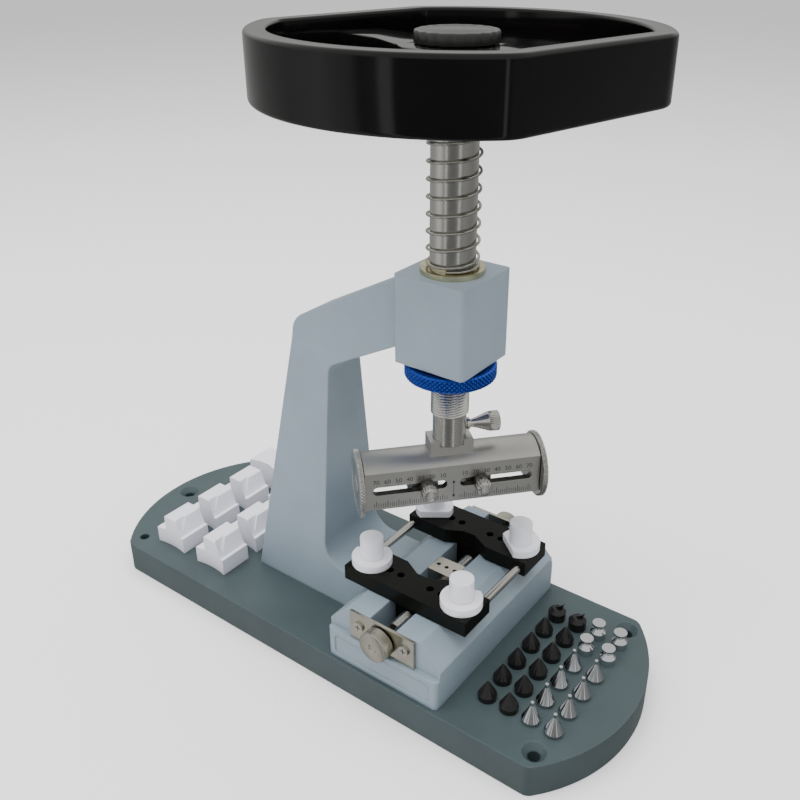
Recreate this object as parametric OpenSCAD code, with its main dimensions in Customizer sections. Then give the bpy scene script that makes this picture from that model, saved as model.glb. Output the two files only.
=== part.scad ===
// Bench press for opening and closing watch cases.
// A handwheel spindle with a graduated two-pin head stands over a self-centring vise.
// Millimetres, +Z up. The origin is the centre of the base plate's underside.
// +X runs along the base towards the tool bits, -Y is the side of the front vise knob.

/* [Base plate] */
// Length of the base over its two bowed ends
base_l = 300; // [270:1:360]
// Width of the base between its straight sides
base_w = 109; // [109:1:130]
// Thickness of the base
base_t = 17; // [15:0.5:22]
// How far each bowed end stands out beyond its corners
base_bow = 22.5; // [15:0.5:26]
// Radius of the four corners of the base
base_corner_r = 6; // [3:0.5:8]
// Distance of the two front mounting holes from the base's end
end_hole_inset = 24.5; // [22:0.5:26]
// Distance of the mounting holes from the base's straight side
side_hole_inset = 9; // [8:0.5:10]
// Distance of the rear mounting hole from the base's end
rear_hole_inset = 10; // [9:0.5:12]
// Radius of a mounting hole
mount_hole_r = 2.8; // [2.5:0.1:3.2]
// Radius of the countersink at the top of a mounting hole
mount_sink_r = 5.6; // [5:0.1:6]
// Radius of the two plain rear corner holes
plain_hole_r = 2.6; // [2:0.1:3]

/* [Frame casting] */
// Where the spindle stands along the base
spindle_x = 49; // [45:0.5:52]
// Width of the bed, across the base's length
bed_w = 62; // [60:0.5:70]
// Length of the bed's lower block, along Y
bed_l = 105; // [104:0.5:109]
// Height of the bed's front ledge above the base
ledge_h = 16; // [14:0.5:18]
// Height of the bed's side edges above the base
shoulder_h = 20; // [18:0.5:22]
// Height of the bed's running surface above the base
bed_h = 31.5; // [29:0.5:35]
// Width of the flat running surface
way_w = 40; // [38:0.5:44]
// Length of the running surface
way_l = 99.6; // [96:0.2:100]
// Width of the slot along the bed
slot_w = 14.6; // [13:0.2:16]
// Depth of the slot below the running surface
slot_depth = 17.5; // [17:0.5:18]
// Where the column's inner face stands, left of the spindle
throat = 60.4; // [58:0.2:64]
// Thickness of the column at its foot, along X
foot_l = 45.3; // [42:0.5:50]
// How far the column's back leans in for each millimetre of height
back_lean = 0.167; // [0.14:0.005:0.18]
// Width of the column at its foot
foot_w = 45.8; // [44:0.2:48]
// How far each side of the column draws in for each millimetre of height
side_draft = 0.092; // [0.08:0.002:0.095]
// Width of the arm
arm_w = 21; // [20:0.2:24]
// Slope of the arm, in degrees
arm_slope = 28.5; // [26:0.5:30]
// Height of the arm across its slope
arm_h = 27; // [24:0.5:28]
// Width of the square head block
head_w = 35; // [34:0.5:40]
// Height of the head block
head_h = 39.2; // [36:0.2:44]
// Height of the head block's top above the table
head_top = 200; // [196:1:215]

/* [Spindle] */
// Radius of the polished rod
rod_r = 9.5; // [9:0.1:10]
// Radius of the threaded sleeve below the head
thread_r = 8.5; // [8:0.1:8.8]
// Radius of the spindle's plain lower end
nose_r = 7.5; // [7:0.1:7.8]
// Radius of the threaded end inside the wheel's hub
wheel_stud_r = 6; // [5:0.2:7]
// How far the spindle's lower end hangs below the head's top
nose_drop = 80.1; // [77:0.1:83]
// Length of the plain lower end
nose_h = 15.3; // [14:0.1:17]
// Thickness of the wall of the flanged bush in the head
bush_wall = 2; // [1.6:0.1:3]
// How far the bush's flange stands out beyond the bush
flange_lip = 2; // [1.5:0.1:3]
// Thickness of the bush's flange
flange_t = 2.2; // [2:0.1:4]
// Radius of the knurled stop ring
ring_r = 20.1; // [18:0.1:22]
// Thickness of the stop ring
ring_t = 6.5; // [5:0.1:8]
// Gap between the stop ring and the head block
ring_gap = 1.3; // [0.5:0.1:2]
// Clearance between the polished rod and the return spring's wire
spring_clear = 0.45; // [0.4:0.05:0.7]
// Radius of the spring's wire
wire_r = 0.6; // [0.5:0.05:0.7]
// Turns of the return spring
spring_turns = 10.25; // [7:0.25:12]
// Thickness of the washer between spring and hub
seat_t = 2; // [1.5:0.1:3]

/* [Handwheel] */
// Height of the wheel rim's underside above the head's top
wheel_rise = 68.8; // [66:0.1:80]
// Height of the rim
wheel_h = 25; // [20:0.5:28]
// Width of the wheel across its two flats
wheel_flats = 135.4; // [128:0.2:150]
// Width of the wheel across its two arcs
wheel_arcs = 152.8; // [145:0.2:160]
// Radius of the two arcs
wheel_arc_r = 80; // [80:1:110]
// Radius of the wheel's four corners
wheel_corner_r = 15; // [10:0.5:18]
// Thickness of the rim
rim_t = 8.5; // [7:0.1:10]
// Width of the crossbar at the rim
crossbar_w = 20; // [18:0.5:24]
// Thickness of the crossbar
crossbar_t = 8; // [6:0.5:9]
// How far the crossbar lies below the rim's top
crossbar_drop = 6.3; // [5:0.1:8]
// Radius of the hub
hub_r = 22; // [20:0.5:24]
// How far the hub reaches below the rim
hub_drop = 2.8; // [2:0.1:6]
// Radius of the lobed cap nut
cap_r = 16; // [14:0.5:18]
// Height of the cap nut
cap_h = 5; // [4.4:0.1:5.6]
// Turn of the wheel at rest, in degrees
wheel_turn = -12.2; // [-30:0.1:30]

/* [Graduated head] */
// Half length of the bar
bar_half = 40; // [38:0.5:44]
// Radius of the bar's round back
bar_r = 14.2; // [13.6:0.1:14.4]
// Distance of the bar's flat faces from its axis
bar_flat = 10; // [9.5:0.1:10.5]
// Height of the spindle's lower end above the bar's axis
nose_up = 17.4; // [16:0.1:19]
// How far the bar reaches below its axis
bar_drop = 8.7; // [8:0.1:9.5]
// Thickness of the bar's front wall
bar_wall = 3.5; // [3:0.1:4]
// Thickness of the bar's end walls
bar_end = 2.8; // [2.5:0.1:3.2]
// Height of the two slots
bar_slot_h = 4.2; // [4.1:0.1:5]
// Height of the slots above the bar's axis
bar_slot_z = 0.8; // [0:0.1:1]
// Inner end of each slot, from the middle
slot_inner = 3; // [2.5:0.1:4]
// Outer end of each slot, from the middle
slot_outer = 36.5; // [35:0.1:37]
// Turn of the bar from the base's length, in degrees
bar_turn = 48.2; // [0:0.1:90]
// Half width of the saddle that carries the spindle
saddle_half = 9.8; // [9.2:0.1:11]
// Depth of the saddle, front to back
saddle_d = 11; // [10:0.1:12]
// Height of the saddle's two ears above the spindle's end
ear_h = 2.6; // [2:0.1:3]
// Radius of the shank that enters the spindle
shank_r = 4; // [3.5:0.1:4.4]
// Length of the shank
shank_h = 12.5; // [12:0.1:13]
// Radius of the adjusting screw inside the bar
bar_screw_r = 2; // [1.8:0.1:2.2]
// Radius of the two knurled end discs
disc_r = 15.5; // [15:0.1:16.5]
// Thickness of an end disc
disc_t = 2.5; // [2:0.1:3]
// Width of a pin carrier
carrier_w = 12; // [10:0.5:12]
// Distance of each carrier from the middle at rest
carrier_x = 12.3; // [8:0.1:28]
// Radius of a clamp screw's stud
clamp_stud_r = 1.9; // [1.6:0.1:1.95]
// Radius of a clamp screw's barrel
clamp_barrel_r = 3.5; // [3:0.1:4]
// Radius of a clamp screw's fluted head
clamp_head_r = 4.1; // [3.8:0.1:4.5]
// Radius of the side thumbscrew's stud
side_stud_r = 2; // [1.5:0.1:2.2]
// Radius of the side thumbscrew's knurled head
side_head_r = 4.6; // [4:0.1:5.5]

/* [Vise] */
// Length of a jaw, across the bed
jaw_l = 68; // [66:0.5:74]
// Width of a jaw, along the bed
jaw_w = 20; // [18:0.5:21]
// Thickness of a jaw
jaw_t = 7.5; // [7:0.1:9]
// Distance of each jaw's centre from the spindle at rest
jaw_y = 25.5; // [20:0.1:28]
// Depth of the notch in a jaw's inner edge
notch_d = 4.6; // [3:0.1:5]
// Half width of the notch at the edge
notch_half = 11.6; // [9:0.1:13]
// Half width of the notch at its bottom
notch_floor = 3; // [2:0.1:6]
// Distance of each peg from the jaw's middle
peg_x = 25.3; // [24:0.1:25.6]
// Radius of a peg's flange
peg_flange_r = 9.6; // [9:0.1:11]
// Thickness of a peg's flange
peg_flange_t = 3.8; // [3:0.1:4.5]
// Distance of the flange's flat from the peg's axis
peg_flat = 6.2; // [6:0.1:8]
// Radius of a peg's post
peg_r = 5.5; // [5:0.1:6]
// Height of a peg's post above its flange
peg_h = 10.4; // [9:0.1:13]
// Radius of a peg's stem in the jaw
stem_r = 2.5; // [2:0.1:2.6]
// Radius of the two guide rods
guide_r = 2; // [1.8:0.1:2.1]
// Distance of each guide rod from the middle
guide_x = 30.6; // [30.4:0.1:31]
// Radius of the lead screw
lead_r = 3; // [2.5:0.1:3.5]
// Height of the lead screw below the running surface
lead_drop = 8; // [8:0.1:9]
// Length of the bearing plates
plate_l = 36; // [34:0.5:38]
// Thickness of the bearing plates
plate_t = 1.5; // [1.2:0.1:2]
// Distance of each plate screw from the middle
plate_screw_x = 12.7; // [11.5:0.1:14]
// Radius of the vise knobs
knob_r = 7.5; // [6.5:0.1:7.6]
// Length of a vise knob
knob_l = 6.2; // [5.5:0.1:7]
// Length of the centre block, along the bed
centre_l = 11; // [9:0.5:12]

/* [Stored tools] */
// Spacing of the bits along X
bit_pitch_x = 11.2; // [10.8:0.1:12]
// Spacing of the bits along Y
bit_pitch_y = 12.9; // [11:0.1:13.4]
// First bit's distance from the bed, along X
bit_start = 13.6; // [13:0.1:15]
// Radius of a bit's foot
bit_r = 4.35; // [4:0.05:4.8]
// Height of a plain bit
bit_h = 9.3; // [8.6:0.1:11]
// Radius of a bit's shank in the base
bit_shank_r = 2; // [1.8:0.1:2.2]
// Depth of a bit's shank in the base
bit_shank_h = 8; // [6:0.5:9]
// Width of a nylon block, along X
block_w = 20.6; // [18:0.1:22]
// Depth of a nylon block, along Y
block_d = 18; // [16:0.1:20]
// Height of a nylon block's foot
block_foot = 9.3; // [8:0.1:11]
// Height of a nylon block
block_h = 18; // [16:0.1:21]
// Radius of the round hollow in the curved support's face
seat_r = 22; // [18:0.5:30]
// Spacing of the nylon blocks along X
block_pitch_x = 31.2; // [30:0.1:31.6]
// Spacing of the nylon blocks along Y
block_pitch_y = 24; // [22:0.1:24.4]

/* [Hidden] */
$fn = 64;
// Running clearance on a radius, and the gap left between pieces that only pass each other
run = 0.05;
gap = 0.3;
// Overlap that keeps a cut clean
cut = 1;
// Heights and places derived from the sizes above
bed_x0 = spindle_x - bed_w / 2;
bed_x1 = spindle_x + bed_w / 2;
ledge_z = base_t + ledge_h;
shoulder_z = base_t + shoulder_h;
way_z = base_t + bed_h;
slot_z = way_z - slot_depth;
inner_x = spindle_x - throat;
foot_x = inner_x - foot_l;
head_bottom = head_top - head_h;
nose_z = head_top - nose_drop;
bar_z = nose_z - nose_up;
wheel_z = head_top + wheel_rise;
bush_r = rod_r + bush_wall;
flange_r = bush_r + flange_lip;
spring_r = rod_r + spring_clear + wire_r;
ring_top = head_bottom - ring_gap;
ring_z = ring_top - ring_t;
thread_z = nose_z + nose_h;
thread_top = head_bottom + 2;
flange_z = head_top + flange_t;
hub_z = wheel_z - hub_drop;
seat_z = hub_z - run - seat_t;
crossbar_top = wheel_z + wheel_h - crossbar_drop;
lead_z = way_z - lead_drop;
jaw_z = way_z + 0.5;
jaw_top = jaw_z + jaw_t;
rod_z = jaw_z + jaw_t / 2;
plate_h = way_z - ledge_z - run;
plate_y = way_l / 2;
knob_y = plate_y + plate_t + 0.5;
lug_l = 12;
centre_gap = 0.2;
frame_screw_r = 3;
frame_screw_places = [[bed_x0 + 10, -38], [bed_x1 - 10, -38], [bed_x0 + 10, 38], [bed_x1 - 10, 38],
    [foot_x + 18, 0]];
frame_screw_head_r = 5;
frame_screw_head_h = 6;
frame_screw_depth = 11;
frame_screw_recess = 0.5;
plate_screw_r = 1.5;
plate_screw_head_r = 2.6;
plate_screw_head_h = 1;
plate_screw_z = lead_z + 1.1;
pin_hole_r = 1.8;
jaw_holes = [8.3, 14.6];
bit_x0 = bed_x1 + bit_start;
bit_y0 = -2.5 * bit_pitch_y + 0.5;
block_x0 = spindle_x - throat - foot_l - 49.2;
block_y0 = -33.6;

// Rounded outlines: each corner of a polygon becomes an arc of its own radius.
arc_steps = 10;
function unit(v) = v / norm(v);
function turn(a) = (a + 540) % 360 - 180;
function corner(a, b, c, r) =
    let (u = unit(a - b), w = unit(c - b), half = acos(u * w) / 2)
    let (centre = b + unit(u + w) * r / sin(half))
    let (p = b + u * r / tan(half) - centre, q = b + w * r / tan(half) - centre)
    let (start = atan2(p.y, p.x), sweep = turn(atan2(q.y, q.x) - start))
    [for (i = [0 : arc_steps]) centre + r * [cos(start + sweep * i / arc_steps),
        sin(start + sweep * i / arc_steps)]];
function rounded(pts, radii) =
    let (n = len(pts))
    [for (i = [0 : n - 1]) each radii[i] > 0 ?
        corner(pts[(i + n - 1) % n], pts[i], pts[(i + 1) % n], radii[i]) : [pts[i]]];

// A shape drawn in X and Z, standing across Y.
module across(width) {
    rotate([90, 0, 0])
        linear_extrude(width, center = true)
            children();
}

// A shape drawn in Y and Z, running along X.
module along(x0, x1) {
    translate([x0, 0, 0])
        rotate([90, 0, 90])
            linear_extrude(x1 - x0)
                children();
}

// A cylinder along Y, from y0 to y1.
module rod_y(r, y0, y1) {
    translate([0, y0, 0])
        rotate([-90, 0, 0])
            cylinder(r = r, h = y1 - y0);
}

// A cylinder along X, from x0 to x1.
module rod_x(r, x0, x1) {
    translate([x0, 0, 0])
        rotate([0, 90, 0])
            cylinder(r = r, h = x1 - x0);
}

// ---------------------------------------------------------------- base plate
end_r = (pow(base_w / 2, 2) + pow(base_bow, 2)) / (2 * base_bow);
end_centre = base_l / 2 - end_r;
corner_y = base_w / 2 - base_corner_r;
corner_x = end_centre + sqrt(pow(end_r - base_corner_r, 2) - pow(corner_y, 2));
corner_tangent_y = corner_y * end_r / (end_r - base_corner_r);

module base_outline() {
    square([2 * corner_x, base_w], center = true);
    for (side = [-1, 1]) {
        intersection() {
            translate([side * end_centre, 0])
                circle(end_r, $fn = 180);
            translate([side * (end_centre + end_r / 2), 0])
                square([end_r, 2 * corner_tangent_y], center = true);
        }
        for (end = [-1, 1])
            translate([side * corner_x, end * corner_y])
                circle(base_corner_r);
    }
}

module mounting_hole() {
    sink_h = mount_sink_r - mount_hole_r;
    translate([0, 0, -cut])
        cylinder(r = mount_hole_r, h = base_t + 2 * cut);
    translate([0, 0, base_t - sink_h])
        cylinder(r1 = mount_hole_r, r2 = mount_sink_r + cut, h = sink_h + cut);
}

module bit_places(first_column, last_column, first_row, last_row) {
    for (i = [first_column : last_column], j = [first_row : last_row])
        translate([bit_x0 + i * bit_pitch_x, bit_y0 + j * bit_pitch_y, base_t])
            children();
}

module base_plate() {
    color("#4c6066")
    difference() {
        linear_extrude(base_t)
            base_outline();
        for (side = [-1, 1]) {
            translate([base_l / 2 - end_hole_inset, side * (base_w / 2 - side_hole_inset), 0])
                mounting_hole();
            translate([-base_l / 2 + end_hole_inset, side * (base_w / 2 - side_hole_inset), -cut])
                cylinder(r = plain_hole_r, h = base_t + 2 * cut);
        }
        translate([-base_l / 2 + rear_hole_inset, 0, 0])
            mounting_hole();
        bit_places(0, 3, 0, 5)
            translate([0, 0, -bit_shank_h - gap])
                cylinder(r = bit_shank_r + run, h = bit_shank_h + gap + cut);
        for (p = frame_screw_places)
            translate([p.x, p.y, -cut]) {
                cylinder(r = frame_screw_r + run, h = base_t + 2 * cut);
                cylinder(r = frame_screw_head_r + run, h = frame_screw_recess + frame_screw_head_h + cut);
            }
    }
}

// ---------------------------------------------------------------- frame casting
arm_rise = tan(arm_slope);
arm_join_x = spindle_x - head_w / 2;
arm_top_z = head_top - 2.7;
arm_under_z = arm_top_z - arm_h / cos(arm_slope);
inner_top_z = arm_under_z - (arm_join_x - inner_x) * arm_rise;
// Where the leaning back meets the sloping top of the arm
shoulder_x = (foot_x + back_lean * (arm_top_z - arm_join_x * arm_rise - base_t)) / (1 - back_lean * arm_rise);
shoulder_top_z = arm_top_z - (arm_join_x - shoulder_x) * arm_rise;
neck_half = arm_w / 2;
neck_z = base_t + (foot_w / 2 - neck_half) / side_draft;

module frame_side() {
    polygon(rounded([[foot_x, base_t], [shoulder_x, shoulder_top_z], [arm_join_x + cut, arm_top_z],
        [arm_join_x + cut, arm_under_z], [inner_x, inner_top_z], [inner_x, shoulder_z],
        [bed_x0 + cut, shoulder_z], [bed_x0 + cut, base_t]],
        [0, 13, 0, 0, 6, 12, 0, 0]));
}

module frame_front() {
    polygon([[-foot_w / 2, base_t], [foot_w / 2, base_t], [neck_half, neck_z], [neck_half, head_top],
        [-neck_half, head_top], [-neck_half, neck_z]]);
}

module bed_solid() {
    translate([bed_x0, -bed_l / 2, base_t])
        linear_extrude(ledge_h)
            polygon(rounded([[0, 0], [bed_w, 0], [bed_w, bed_l], [0, bed_l]], [2, 2, 2, 2]));
    translate([spindle_x, 0, 0])
        across(way_l)
            polygon([[-bed_w / 2, ledge_z - cut], [bed_w / 2, ledge_z - cut], [bed_w / 2, shoulder_z],
                [way_w / 2, way_z], [-way_w / 2, way_z], [-bed_w / 2, shoulder_z]]);
}

module front_panel_recess() {
    margin = 4;
    depth = 0.6;
    translate([bed_x0 + margin, 0, base_t + 3])
        for (side = [-1, 1])
            translate([0, side * (bed_l / 2 - depth / 2 + cut / 2), 0])
                across(depth + cut)
                    polygon(rounded([[0, 0], [bed_w - 2 * margin, 0],
                        [bed_w - 2 * margin, ledge_h - 6], [0, ledge_h - 6]], [1.5, 1.5, 1.5, 1.5]));
}

module frame_casting() {
    color("#9fadb5")
    difference() {
        union() {
            intersection() {
                across(foot_w)
                    frame_side();
                along(foot_x - cut, arm_join_x + cut)
                    frame_front();
            }
            bed_solid();
            translate([arm_join_x, -head_w / 2, head_bottom])
                linear_extrude(head_h)
                    polygon(rounded([[0, 0], [head_w, 0], [head_w, head_w], [0, head_w]], [2, 2, 2, 2]));
        }
        translate([spindle_x, 0, head_bottom - cut])
            cylinder(r = bush_r + run, h = head_h + 2 * cut);
        translate([spindle_x - slot_w / 2, -way_l / 2 - cut, slot_z])
            cube([slot_w, way_l + 2 * cut, slot_depth + cut]);
        front_panel_recess();
        for (p = frame_screw_places)
            translate([p.x, p.y, base_t - cut])
                cylinder(r = frame_screw_r + run, h = frame_screw_depth + cut + gap);
        for (side = [-1, 1], end = [-1, 1])
            translate([spindle_x + side * plate_screw_x, 0, plate_screw_z])
                rod_y(plate_screw_r + run, end > 0 ? way_l / 2 - 8 : -way_l / 2 - cut,
                    end > 0 ? way_l / 2 + cut : -way_l / 2 + 8);
    }
}

module frame_screws() {
    color("#3a3a3c")
    for (p = frame_screw_places)
        translate([p.x, p.y, frame_screw_recess])
            difference() {
                union() {
                    cylinder(r = frame_screw_head_r, h = frame_screw_head_h);
                    cylinder(r = frame_screw_r, h = base_t + frame_screw_depth - frame_screw_recess);
                }
                translate([0, 0, -cut])
                    cylinder(r = 2.9, h = 3 + cut, $fn = 6);
            }
}

// ---------------------------------------------------------------- spindle and handwheel
module head_bush() {
    color("#c9bd6a")
    translate([spindle_x, 0, 0])
        difference() {
            union() {
                translate([0, 0, head_bottom])
                    cylinder(r = bush_r, h = head_h + flange_t);
                translate([0, 0, head_top])
                    cylinder(r = flange_r, h = flange_t);
            }
            translate([0, 0, head_bottom - cut])
                cylinder(r = rod_r + run, h = head_h + flange_t + 2 * cut);
        }
}

// The return spring: a round wire swept along a helix with two flat end turns.
spring_low = flange_z + wire_r;
spring_high = seat_z - wire_r;
wire_sides = 8;
turn_steps = 24;
spring_rings = spring_turns * turn_steps;
closed_pitch = 2.5 * wire_r;
open_pitch = (spring_high - spring_low - 2 * closed_pitch) / (spring_turns - 2);
spring_start = -72;
function spring_height(t) = t < 1 ? spring_low + closed_pitch * t :
    t > spring_turns - 1 ? spring_high - closed_pitch * (spring_turns - t) :
    spring_low + closed_pitch + open_pitch * (t - 1);
function spring_point(i, j) =
    let (a = spring_start + 360 * i / turn_steps, b = 360 * j / wire_sides, r = spring_r + wire_r * cos(b))
    [r * cos(a), r * sin(a), spring_height(i / turn_steps) + wire_r * sin(b)];

module return_spring() {
    points = [for (i = [0 : spring_rings], j = [0 : wire_sides - 1]) spring_point(i, j)];
    walls = [for (i = [0 : spring_rings - 1], j = [0 : wire_sides - 1])
        [i * wire_sides + j, (i + 1) * wire_sides + j, (i + 1) * wire_sides + (j + 1) % wire_sides,
            i * wire_sides + (j + 1) % wire_sides]];
    first = [for (j = [0 : wire_sides - 1]) j];
    last = [for (j = [wire_sides - 1 : -1 : 0]) spring_rings * wire_sides + j];
    color("#b9b6ae")
    translate([spindle_x, 0, 0])
        polyhedron(points, concat(walls, [first], [last]), convexity = 10);
}

module spring_seat() {
    color("#c2c2c0")
    translate([spindle_x, 0, seat_z])
        difference() {
            cylinder(r = spring_r + wire_r + 1.4, h = seat_t);
            translate([0, 0, -cut])
                cylinder(r = rod_r + run, h = seat_t + 2 * cut);
        }
}

module spindle() {
    stud_top = crossbar_top + cap_h - 2;
    color("#c4c1ba")
    translate([spindle_x, 0, 0])
        difference() {
            union() {
                translate([0, 0, nose_z])
                    cylinder(r = nose_r, h = nose_h + cut);
                translate([0, 0, thread_z])
                    cylinder(r = thread_r, h = thread_top - thread_z + cut);
                translate([0, 0, thread_top])
                    cylinder(r = rod_r, h = hub_z - thread_top);
                translate([0, 0, hub_z - cut])
                    cylinder(r = wheel_stud_r, h = stud_top - hub_z + cut);
            }
            translate([0, 0, nose_z - cut])
                cylinder(r = shank_r + run, h = shank_h + gap + cut);
            translate([0, 0, nose_z + nose_h / 2])
                rotate([0, 0, bar_turn])
                    rod_x(side_stud_r + run, 0, nose_r + cut);
        }
}

wheel_half = wheel_flats / 2;
wheel_arc_y = wheel_arcs / 2 - wheel_arc_r;
wheel_corner_x = wheel_half - wheel_corner_r;
wheel_corner_y = wheel_arc_y + sqrt(pow(wheel_arc_r - wheel_corner_r, 2) - pow(wheel_corner_x, 2));
wheel_tangent_x = wheel_corner_x * wheel_arc_r / (wheel_arc_r - wheel_corner_r);

module wheel_outline(inset) {
    square([2 * (wheel_half - inset), 2 * wheel_corner_y], center = true);
    for (side = [-1, 1], end = [-1, 1])
        translate([side * wheel_corner_x, end * wheel_corner_y])
            circle(wheel_corner_r - inset);
    tangent_x = wheel_corner_x + (wheel_tangent_x - wheel_corner_x) * (1 - inset / wheel_corner_r);
    intersection() {
        square([2 * tangent_x, wheel_arcs], center = true);
        translate([0, wheel_arc_y])
            circle(wheel_arc_r - inset, $fn = 180);
        translate([0, -wheel_arc_y])
            circle(wheel_arc_r - inset, $fn = 180);
    }
}

module handwheel() {
    crossbar_z = crossbar_top - crossbar_t;
    color("#161617")
    translate([spindle_x, 0, 0])
        rotate([0, 0, wheel_turn])
            difference() {
                union() {
                    translate([0, 0, wheel_z])
                        linear_extrude(wheel_h)
                            difference() {
                                wheel_outline(0);
                                wheel_outline(rim_t);
                            }
                    translate([0, 0, crossbar_z])
                        linear_extrude(crossbar_t)
                            intersection() {
                                wheel_outline(rim_t / 2);
                                union() {
                                    square([wheel_flats, crossbar_w], center = true);
                                    circle(hub_r);
                                    for (side = [-1, 1])
                                        polygon([[side * 44, crossbar_w / 2], [side * 44, -crossbar_w / 2],
                                            [side * 14, -hub_r + 4], [side * 14, hub_r - 4]]);
                                }
                            }
                    translate([0, 0, hub_z])
                        cylinder(r = hub_r - 4, h = crossbar_top - hub_z);
                }
                translate([0, 0, hub_z - cut])
                    cylinder(r = wheel_stud_r + run, h = crossbar_top - hub_z + 2 * cut);
            }
}

module hub_cap() {
    lobes = 18;
    lobe_r = 1.6;
    color("#1c1c1d")
    translate([spindle_x, 0, crossbar_top])
        rotate([0, 0, wheel_turn])
            difference() {
                cylinder(r = cap_r, h = cap_h);
                for (i = [0 : lobes - 1])
                    rotate([0, 0, i * 360 / lobes])
                        translate([cap_r + lobe_r / 2, 0, -cut])
                            cylinder(r = lobe_r, h = cap_h + 2 * cut);
                translate([0, 0, -cut])
                    cylinder(r = wheel_stud_r + run, h = cap_h - 2 + run + cut);
            }
}

module stop_ring() {
    lip = 0.8;
    color("#1a45b8")
    translate([spindle_x, 0, ring_z])
        rotate_extrude($fn = 96)
            polygon([[thread_r + run, 0], [ring_r - lip, 0], [ring_r, lip], [ring_r, ring_t - lip],
                [ring_r - lip, ring_t], [thread_r + run, ring_t]]);
}

// ---------------------------------------------------------------- graduated head
// The head's own frame: X along the bar, -Y out of its graduated face, Z up from the bar's axis.
module head_place() {
    translate([spindle_x, 0, bar_z])
        rotate([0, 0, bar_turn])
            children();
}

bar_inner = bar_half - bar_end;
bar_hollow = bar_flat - bar_wall;
bar_hollow_top = 5;
rear_lip = -2.5;

module bar_section() {
    intersection() {
        circle(bar_r, $fn = 96);
        translate([-bar_flat, -bar_drop])
            square([2 * bar_flat, bar_r + bar_drop]);
    }
}

module bar_slot(side) {
    radius = bar_slot_h / 2;
    middle = (slot_inner + slot_outer) / 2;
    half = (slot_outer - slot_inner) / 2 - radius;
    translate([side * middle, 0, bar_slot_z]) {
        translate([-half, -bar_flat - cut, -radius])
            cube([2 * half, bar_wall + 2 * cut, bar_slot_h]);
        for (end = [-1, 1])
            translate([end * half, 0, 0])
                rod_y(radius, -bar_flat - cut, -bar_hollow + cut);
    }
}

module head_bar() {
    color("#a8a49c")
    head_place()
        difference() {
            union() {
                along(-bar_half, bar_half)
                    bar_section();
                translate([-saddle_half, -saddle_d / 2, bar_r - 4])
                    cube([2 * saddle_half, saddle_d, nose_up + ear_h - bar_r + 4]);
                translate([0, 0, bar_r - 4])
                    cylinder(r = shank_r, h = nose_up + shank_h - bar_r + 4);
            }
            difference() {
                translate([0, 0, nose_up - run])
                    cylinder(r = nose_r + run, h = ear_h + 2 * cut);
                cylinder(r = shank_r, h = nose_up + shank_h);
            }
            translate([-bar_inner, -bar_hollow, -bar_drop - cut])
                cube([2 * bar_inner, 2 * bar_hollow, bar_drop + bar_hollow_top + cut]);
            translate([-bar_inner, 0, -bar_drop - cut])
                cube([2 * bar_inner, bar_flat + cut, bar_drop + rear_lip + cut]);
            rod_x(bar_screw_r + run, -bar_half - cut, bar_half + cut);
            bar_slot(-1);
            bar_slot(1);
        }
}

module bar_screw() {
    reach = bar_half + gap + disc_t - 0.4;
    color("#b0aea8")
    head_place()
        rod_x(bar_screw_r, -reach, reach);
}

module end_disc(side) {
    inner = bar_half + gap;
    rim = 0.5;
    color("#a19d95")
    head_place()
        rotate([0, side * 90, 0])
            translate([0, 0, inner])
                rotate_extrude($fn = 96)
                    polygon([[bar_screw_r + run, 0], [disc_r - rim, 0], [disc_r, rim], [disc_r, disc_t - rim],
                        [disc_r - rim, disc_t], [bar_screw_r + run, disc_t]]);
}

module carrier(side) {
    height = bar_drop + bar_hollow_top - 2 * gap;
    socket_r = bit_shank_r + run;
    stub_h = 3;
    color("#6d6b66")
    head_place()
        translate([side * carrier_x, 0, 0])
            difference() {
                union() {
                    translate([-carrier_w / 2, -bar_hollow + gap, -bar_drop + gap])
                        cube([carrier_w, 2 * (bar_hollow - gap), height]);
                    translate([0, 0, -bar_drop - stub_h])
                        cylinder(r = clamp_barrel_r, h = stub_h + cut);
                }
                rod_x(bar_screw_r + run, -carrier_w, carrier_w);
                translate([0, 0, bar_slot_z])
                    rod_y(clamp_stud_r + run, -bar_hollow, -bar_screw_r - 0.7);
                translate([0, 0, -bar_drop - stub_h - cut])
                    cylinder(r = socket_r, h = stub_h + 5 + cut);
            }
}

module clamp_screw(side) {
    tip = -bar_screw_r - 0.9;
    barrel = -bar_flat - gap;
    head = barrel - 6.4;
    flutes = 14;
    color("#bcb9b2")
    head_place()
        translate([side * carrier_x, 0, bar_slot_z])
            difference() {
                union() {
                    rod_y(clamp_stud_r, barrel - 1, tip);
                    rod_y(clamp_barrel_r, head - 1, barrel);
                    rod_y(clamp_head_r, head - 3.2, head);
                }
                for (i = [0 : flutes - 1])
                    rotate([0, i * 360 / flutes, 0])
                        translate([clamp_head_r + 0.25, 0, 0])
                            rod_y(0.55, head - 3.2 - cut, head + cut / 4);
            }
}

module side_thumbscrew() {
    collar = nose_r + gap;
    head = nose_r + 10;
    color("#bdbab3")
    translate([spindle_x, 0, nose_z + nose_h / 2])
        rotate([0, 0, bar_turn])
            rotate([0, 90, 0]) {
                translate([0, 0, shank_r + 0.2])
                    cylinder(r = side_stud_r, h = head - shank_r);
                translate([0, 0, collar])
                    cylinder(r = side_stud_r + 0.7, h = 1.4);
                translate([0, 0, collar + 1.4])
                    cylinder(r1 = side_stud_r, r2 = side_head_r - 0.6, h = head - collar - 1.4);
                translate([0, 0, head])
                    cylinder(r = side_head_r, h = 5);
            }
}

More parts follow.
